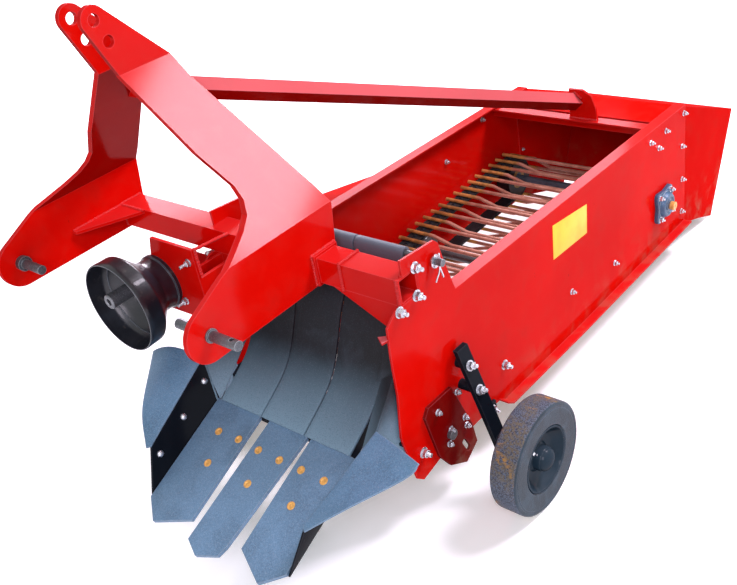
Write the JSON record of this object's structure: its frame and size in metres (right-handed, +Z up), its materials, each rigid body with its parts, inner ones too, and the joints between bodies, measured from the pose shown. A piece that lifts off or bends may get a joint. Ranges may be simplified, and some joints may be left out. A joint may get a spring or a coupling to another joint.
{
  "type": "single-row potato digger with rod web",
  "caption": "Tractor-mounted potato digger: digging blades lift the ridge onto a rod web in a narrow trough; hitch mast, drive input and depth wheels.",
  "frame": {"origin": "bottom centre of the whole machine's box, on the floor it parks on", "axes": "+X to the machine's left, +Y to its rear, +Z up; it digs towards -Y"},
  "size_m": [1.2066, 2.1482, 1.1909],
  "materials": {
    "red_paint": "gloss red paint",
    "dark_red_paint": "gloss dark red paint",
    "black_paint": "black paint",
    "share_steel": "heat-blued spring steel",
    "pin_steel": "turned steel",
    "rod_steel": "lightly rusted spring steel",
    "shaft_steel": "turned steel",
    "bearing_iron": "painted cast iron",
    "gearbox_iron": "painted cast iron",
    "rim_paint": "dark grey paint",
    "apron_rubber": "matt conveyor rubber",
    "belt_rubber": "matt rubber",
    "tyre_rubber": "solid rubber, dusty",
    "guard_plastic": "moulded plastic"
  },
  "bodies": {
    "frame": {"adjust_plate_left": "dark_red_paint", "adjust_plate_right": "dark_red_paint", "apron_strip_left": "apron_rubber", "apron_strip_middle": "apron_rubber", "apron_strip_right": "apron_rubber", "arm_gussets": "red_paint", "bearing_left": "bearing_iron", "bearing_right": "bearing_iron", "blade_left": "share_steel", "blade_middle": "share_steel", "blade_right": "share_steel", "chain_cover": "red_paint", "cross_rod": "pin_steel", "cross_tube": "red_paint", "drive_shaft": "shaft_steel", "drive_tube": "gearbox_iron", "filler_plate_left": "share_steel", "filler_plate_right": "share_steel", "front_roller": "shaft_steel", "gearbox": "gearbox_iron", "lower_pin_left": "pin_steel", "lower_pin_right": "pin_steel", "mast_arm_left": "red_paint", "mast_arm_right": "red_paint", "mast_web": "red_paint", "offset_tube": "red_paint", "panel_gusset_left": "red_paint", "panel_gusset_right": "red_paint", "pto_guard": "guard_plastic", "pto_plate": "red_paint", "rear_cross_member": "red_paint", "rear_hood": "red_paint", "rod_web": "rod_steel", "share_carrier": "black_paint", "side_panel_left": "red_paint", "side_panel_right": "red_paint", "side_plate_left": "black_paint", "side_plate_right": "black_paint", "support_roller": "shaft_steel", "tie_bar": "red_paint", "tie_gusset": "red_paint", "web_belts": "belt_rubber", "wheel_strut_left": "black_paint", "wheel_strut_right": "black_paint", "wing_left": "share_steel", "wing_right": "share_steel"},
    "wheel_left": {"tyre_left": "tyre_rubber", "wheel_rim_left": "rim_paint"},
    "wheel_right": {"tyre_right": "tyre_rubber", "wheel_rim_right": "rim_paint"},
    "drive_input": {"pto_shaft": "shaft_steel"}
  },
  "joints": [
    {"name": "wheel_left_spin", "type": "hinge", "parent": "frame", "child": "wheel_left", "pos_m": [0.55875, -0.46092, 0.133], "axis": [1, 0, 0], "continuous": true},
    {"name": "wheel_right_spin", "type": "hinge", "parent": "frame", "child": "wheel_right", "pos_m": [-0.35225, -0.46092, 0.133], "axis": [1, 0, 0], "continuous": true},
    {"name": "drive_input_spin", "type": "hinge", "parent": "frame", "child": "drive_input", "pos_m": [-0.25775, -0.85692, 0.553], "axis": [0, 1, 0], "continuous": true}
  ]
}
